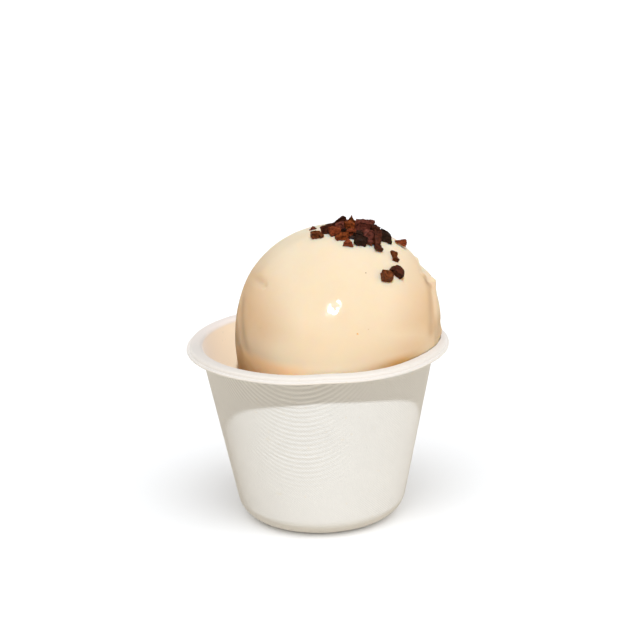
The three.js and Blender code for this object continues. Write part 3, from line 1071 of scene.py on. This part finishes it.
def dent_nib(nib, source):
    """Pushes the three largest broken faces in, each by its own depth."""
    bpy.ops.mesh.select_all(action="SELECT")
    bpy.ops.mesh.remove_doubles(threshold=0.15 * MM)
    bpy.ops.object.mode_set(mode="OBJECT")
    faces = sorted(nib.data.polygons, key=lambda face: face.area)
    hollows = [(face.center / MM, -face.normal) for face in faces[-3:]]
    bpy.ops.object.mode_set(mode="EDIT")
    for middle, inwards in hollows:
        pick(nib, "faces", lambda p: (p - middle).length < 0.2)
        bpy.ops.mesh.inset(thickness=source.uniform(0.25, 0.45) * MM)
        bpy.ops.transform.translate(value=inwards * source.uniform(0.1, 0.55) * MM)


def roughen(piece, grain, depth, name):
    """Pushes the skin in and out by a cloudy noise, its grain and depth in mm."""
    grit = bpy.data.textures.new(name, "CLOUDS")
    grit.noise_scale = grain * MM
    finish_with(piece, "DISPLACE", texture=grit, texture_coords="LOCAL", strength=depth * MM,
                mid_level=0.5)


def wear_nib(nib):
    """Softens the edges and roughens the skin."""
    bpy.ops.mesh.select_all(action="SELECT")
    bpy.ops.mesh.bevel(offset=EDGE_WEAR * MM, segments=1, clamp_overlap=True)
    bpy.ops.mesh.select_all(action="SELECT")
    bpy.ops.mesh.quads_convert_to_tris()
    bpy.ops.object.mode_set(mode="OBJECT")
    finish_with(nib, "SUBSURF", subdivision_type="SIMPLE", levels=2, render_levels=2)
    roughen(nib, 1.1, 0.8, "cracks")
    roughen(nib, 0.4, 0.34, "grit")
    bpy.ops.object.shade_smooth_by_angle(angle=math.radians(35))


def fit_nib(nib, size):
    """Brings the finished nib back to its full size and centres it."""
    points = [Vector(corner) for corner in nib.bound_box]
    low = Vector([min(p[axis] for p in points) for axis in range(3)])
    high = Vector([max(p[axis] for p in points) for axis in range(3)])
    nib.scale = [side * MM / (h - l) for side, h, l in zip(size, high, low)]
    nib.location = [-(h + l) / 2 * s for h, l, s in zip(high, low, nib.scale)]
    bpy.ops.object.transform_apply(location=True, rotation=True, scale=True)


def tint(piece, hex_colour):
    """Writes one colour on every face corner, so that joined nibs keep their own."""
    paint = piece.data.color_attributes.new("tone", "FLOAT_COLOR", "CORNER")
    paint.data.foreach_set("color", linear(hex_colour) * len(piece.data.loops))


def make_nib(kind, size, tone, seed):
    """A finished nib at the origin, its length along X."""
    source = random.Random(seed)
    nib = start_nib(kind)
    if kind == "sliver":
        draw_out(nib, 0.85, 0.75, 0.45)
    if kind == "club":
        draw_out(nib, 0.6, 1.9, 0.1)
    break_nib(nib, size, CUTS[kind], source)
    dent_nib(nib, source)
    wear_nib(nib)
    fit_nib(nib, size)
    tint(nib, tone)
    return nib


# %% [markdown]
# Each nib is then laid on the skin of the scoop: a ray dropped from above finds the spot and the
# way the skin faces there. The nib stands on that, turned by its heading, tipped by its pitch and
# rolled by its bank, and is lifted if it lies on others. With its place applied to the mesh, it
# can be joined with the rest.

# %% Lay a nib on the scoop


def skin_under(x, y):
    """The spot on the sorbet under a place in plan, and the way the skin faces, in mm."""
    above = Vector((x * MM, y * MM, 0.2))
    _, spot, facing, _ = sorbet.ray_cast(above, Vector((0, 0, -1)))
    return spot / MM, facing


def lay_nib(nib, x, y, lift, heading, pitch, bank):
    """Moves a nib to its spot: lift in mm, the rest in degrees."""
    spot, facing = skin_under(x, y)
    turn = Matrix.Rotation(math.radians(heading), 4, "Z")
    tip = Matrix.Rotation(math.radians(-pitch), 4, "Y")
    roll_over = Matrix.Rotation(math.radians(bank), 4, "X")
    stand = Vector((0, 0, 1)).rotation_difference(facing).to_matrix().to_4x4()
    nib.matrix_world = Matrix.Translation((spot + facing * lift) * MM) @ stand @ turn @ tip @ roll_over
    bpy.ops.object.transform_apply(location=True, rotation=True, scale=True)


def join_as(name, parts):
    """Joins pieces into the first of them and names the result."""
    start_clean()
    for part in parts:
        part.select_set(True)
    bpy.context.view_layer.objects.active = parts[0]
    bpy.ops.object.join()
    parts[0].name = name
    parts[0].data.name = name
    return parts[0]


# %% [markdown]
# The heap is laid nib by nib, because its outline against the light is what the eye knows it by.
# Each row gives the kind, the place in plan and the lift, the length, width and thickness, the
# heading, pitch and bank, and the tone. The lower nibs come first, then those that lie on them,
# then the few that rolled away.

# %% Lay the heap and the strays
TONES = {
    "black": "#26160E",
    "bark": "#3F1C10",
    "brown": "#55290F",
    "umber": "#592D14",
    "plum": "#5A2C22",
    "rust": "#6C311A",
    "amber": "#6E3415",
}

HEAP = [
    # kind, x, y, lift, (length, width, thickness), heading, pitch, bank, tone
    ("block", 5.5, 0.8, 0.2, (3.4, 3.0, 2.0), 10, 0, 0, "bark"),
    ("block", 9.4, 2.8, 0.9, (4.0, 3.4, 2.4), 40, 0, 0, "plum"),
    ("shard", 14.0, 2.8, 0.9, (4.2, 3.6, 2.0), -30, 0, 0, "bark"),
    ("block", 18.2, 2.6, 0.9, (3.8, 3.4, 2.2), 65, 0, 0, "black"),
    ("block", 22.6, 0.2, 0.9, (3.6, 3.0, 2.0), 20, 0, 0, "bark"),
    ("block", 3.9, -3.8, 1.3, (3.4, 3.0, 3.0), 0, 8, 0, "bark"),
    ("block", 6.8, -6.4, 1.2, (3.9, 3.0, 3.2), 20, 0, 0, "rust"),
    ("shard", 9.0, -9.4, 0.9, (5.0, 2.8, 2.2), 0, 14, 0, "amber"),
    ("block", 12.0, -7.4, 1.4, (3.4, 2.6, 2.6), 15, 0, 0, "rust"),
    ("block", 9.9, -5.8, 1.1, (2.6, 2.2, 2.0), 0, 0, 0, "black"),
    ("wedge", 11.0, -12.2, 0.7, (3.7, 3.6, 1.6), 0, 0, 0, "rust"),
    ("block", 15.0, -11.3, 1.2, (4.5, 3.0, 3.2), 0, -8, 0, "black"),
    ("shard", 18.0, -10.3, 0.8, (2.6, 2.4, 1.5), 0, 0, 0, "plum"),
    ("block", 14.2, -7.2, 1.0, (3.2, 2.6, 2.2), 0, 0, 0, "black"),
    ("block", 17.9, -7.5, 1.6, (4.5, 3.0, 3.8), 0, 0, -24, "plum"),
    ("club", 20.2, -9.6, 1.8, (7.8, 3.3, 2.8), -76, -25, 0, "bark"),
    ("sliver", 23.3, -4.4, 1.4, (5.4, 3.6, 3.2), 0, 0, -90, "black"),
    ("block", 19.6, -1.6, 1.7, (3.6, 3.0, 2.8), 0, -10, 0, "bark"),
    ("block", 8.5, -0.9, 2.4, (5.8, 2.4, 2.1), 0, 36, 0, "bark"),
    ("block", 8.5, -4.6, 2.5, (3.2, 2.6, 2.6), 0, 15, 0, "plum"),
    ("wedge", 12.1, -1.0, 3.3, (3.1, 2.8, 1.9), 0, 0, 90, "umber"),
    ("shard", 11.6, -4.2, 2.7, (4.2, 3.0, 2.4), 0, 4, 0, "amber"),
    ("block", 15.6, -3.1, 2.6, (5.6, 3.6, 3.8), 0, 0, 0, "plum"),
    ("shard", 17.8, -0.9, 3.5, (3.4, 2.4, 1.4), 0, 12, 0, "plum"),
]

STRAYS = [
    ("wedge", -0.5, 2.1, 0.4, (2.9, 1.6, 1.6), 0, 0, 90, "plum"),
    ("shard", 0.5, -6.2, 1.0, (3.6, 3.0, 2.4), 0, -10, 0, "umber"),
    ("block", 2.2, -7.2, 0.7, (1.9, 1.8, 1.9), 30, 0, 20, "umber"),
    ("wedge", 28.3, -0.7, 1.1, (2.5, 4.2, 1.9), 0, 114, 90, "rust"),
    ("club", 26.1, -11.4, 0.6, (4.7, 2.5, 1.7), -76, 0, 0, "brown"),
    ("block", 26.4, -17.3, 1.0, (5.0, 3.5, 2.6), -6, 0, 0, "bark"),
    ("block", 23.0, -20.9, 0.9, (4.3, 3.7, 2.3), 20, 0, 0, "umber"),
]


def lay_all(rows, first_seed):
    """Makes and lays the nibs of a list."""
    nibs = []
    for number, (kind, x, y, lift, size, heading, pitch, bank, tone) in enumerate(rows):
        nib = make_nib(kind, size, TONES[tone], first_seed + number)
        lay_nib(nib, x, y, lift, heading, pitch, bank)
        nibs.append(nib)
    return nibs


heap_nibs = join_as("heap_nibs", lay_all(HEAP, 100))
stray_nibs = join_as("stray_nibs", lay_all(STRAYS, 300))
print("nibs:", len(HEAP), "in the heap,", len(STRAYS), "strays,", triangles(heap_nibs), "triangles")

# %% [markdown]
# Between the nibs lie the fine bits that broke off them. The larger of these are crumbs up to a
# millimetre long, scattered through the heap. What is finer is the core: a low mound, hidden by
# the nibs, with a gritty skin, so that no sorbet shows through the gaps. Four specks, one dark and
# the rest orange or tan, lie in the front of the sorbet and are made like crumbs.

# %% The core and the crumbs
HEAP_MIDDLE = (13.0, -4.2)
CORE_SIZE = (17.5, 10.5, 2.4)
CRUMBS = 34
CRUMB_SIZE = (0.45, 1.0)

start_clean()
bpy.ops.mesh.primitive_ico_sphere_add(subdivisions=5, radius=0.5 * MM)
nib_core = name_new("nib_core")
bpy.ops.transform.resize(value=CORE_SIZE)
bpy.ops.object.mode_set(mode="OBJECT")
roughen(nib_core, 1.1, 0.9, "clods")
bpy.ops.object.shade_smooth_by_angle(angle=math.radians(40))
tint(nib_core, TONES["black"])
lay_nib(nib_core, *HEAP_MIDDLE, -0.2, 0, 0, 0)

FLECKS = [
    # x, y, length, colour
    (16.4, -22.4, 0.45, "#4A3424"),
    (13.0, -34.78, 0.70, "#D0A05E"),
    (16.6, -33.2, 0.40, "#BFA27C"),
    (-18.5, -23.3, 0.45, "#BFA27C"),
]


def make_crumb(length, hex_colour):
    """A tiny angular bit, its length in mm."""
    start_clean()
    bpy.ops.mesh.primitive_ico_sphere_add(subdivisions=1, radius=0.5 * MM)
    crumb = name_new("crumb")
    bpy.ops.transform.resize(value=(length, length * 0.8, length * 0.6))
    bpy.ops.transform.vertex_random(offset=0.1 * length * MM, seed=int(100 * length))
    bpy.ops.object.mode_set(mode="OBJECT")
    tint(crumb, hex_colour)
    return crumb


crumb_source = random.Random(7)
crumbs = []
for number in range(CRUMBS):
    turn = crumb_source.uniform(0, math.tau)
    away = math.sqrt(crumb_source.uniform(0.0, 1.0))
    x = HEAP_MIDDLE[0] + 11.5 * away * math.cos(turn)
    y = HEAP_MIDDLE[1] + 8.0 * away * math.sin(turn)
    tone = TONES[crumb_source.choice(["bark", "umber", "rust", "plum"])]
    crumbs.append(make_crumb(crumb_source.uniform(*CRUMB_SIZE), tone))
    lay_nib(crumbs[-1], x, y, 0.15, crumb_source.uniform(0, 360), 0, 0)
for x, y, length, tone in FLECKS:
    crumbs.append(make_crumb(length, tone))
    lay_nib(crumbs[-1], x, y, 0.0, 0, 0, 0)
nib_crumbs = join_as("nib_crumbs", crumbs)
print("core and", len(crumbs), "crumbs")

# %% [markdown]
# ## The nibs: roasted cocoa
#
# Roasted cocoa is a dry, brittle solid: dark brown to nearly black, purple-brown where the bean's
# own skin-side face shows, and rust or amber on thin edges and fresh breaks. The faces have a dull
# sheen from the cocoa fat. Every nib carries its own tone as a colour on its mesh, and one
# material mottles it.

# %% Material: roasted cocoa nib


def roasted_cocoa_nib():
    """Brittle brown cocoa with a dull sheen, mottled and gritty."""
    material, tree = new_material("roasted_cocoa_nib")
    coords = add_node(tree, "ShaderNodeTexCoord").outputs["Object"]
    tone = add_node(tree, "ShaderNodeAttribute", attribute_name="tone").outputs["Color"]
    mottle = add_node(tree, "ShaderNodeTexNoise", {"Scale": 1 / (0.8 * MM), "Detail": 5.0,
                                                   "Roughness": 0.7}, {"Vector": coords})
    share = add_node(tree, "ShaderNodeMapRange", {1: 0.38, 2: 0.66, 3: 0.45, 4: 1.9},
                     {0: mottle.outputs["Fac"]})
    body = add_node(tree, "ShaderNodeVectorMath", links={0: tone, 1: share.outputs[0]},
                    operation="MULTIPLY")
    grit_noise = add_node(tree, "ShaderNodeTexNoise", {"Scale": 1 / (0.35 * MM), "Detail": 3.0},
                          {"Vector": coords})
    skin = add_node(tree, "ShaderNodeBump", {"Distance": 0.14 * MM},
                    {"Height": grit_noise.outputs["Fac"]})
    sheen = add_node(tree, "ShaderNodeMapRange", {3: 0.38, 4: 0.62}, {0: mottle.outputs["Fac"]})
    nib = add_node(tree, "ShaderNodeBsdfPrincipled", {"IOR": 1.46, "Specular IOR Level": 0.1},
                   {"Base Color": body.outputs[0], "Roughness": sheen.outputs[0],
                    "Normal": skin.outputs[0]})
    add_node(tree, "ShaderNodeOutputMaterial", links={"Surface": nib.outputs[0]})
    return material


cocoa = roasted_cocoa_nib()
for piece in (nib_core, heap_nibs, stray_nibs, nib_crumbs):
    piece.data.materials.clear()
    piece.data.materials.append(cocoa)
    on_object.objects.link(piece)
    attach(piece, "root")
    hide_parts("nib_heap")
print("nibs finished")
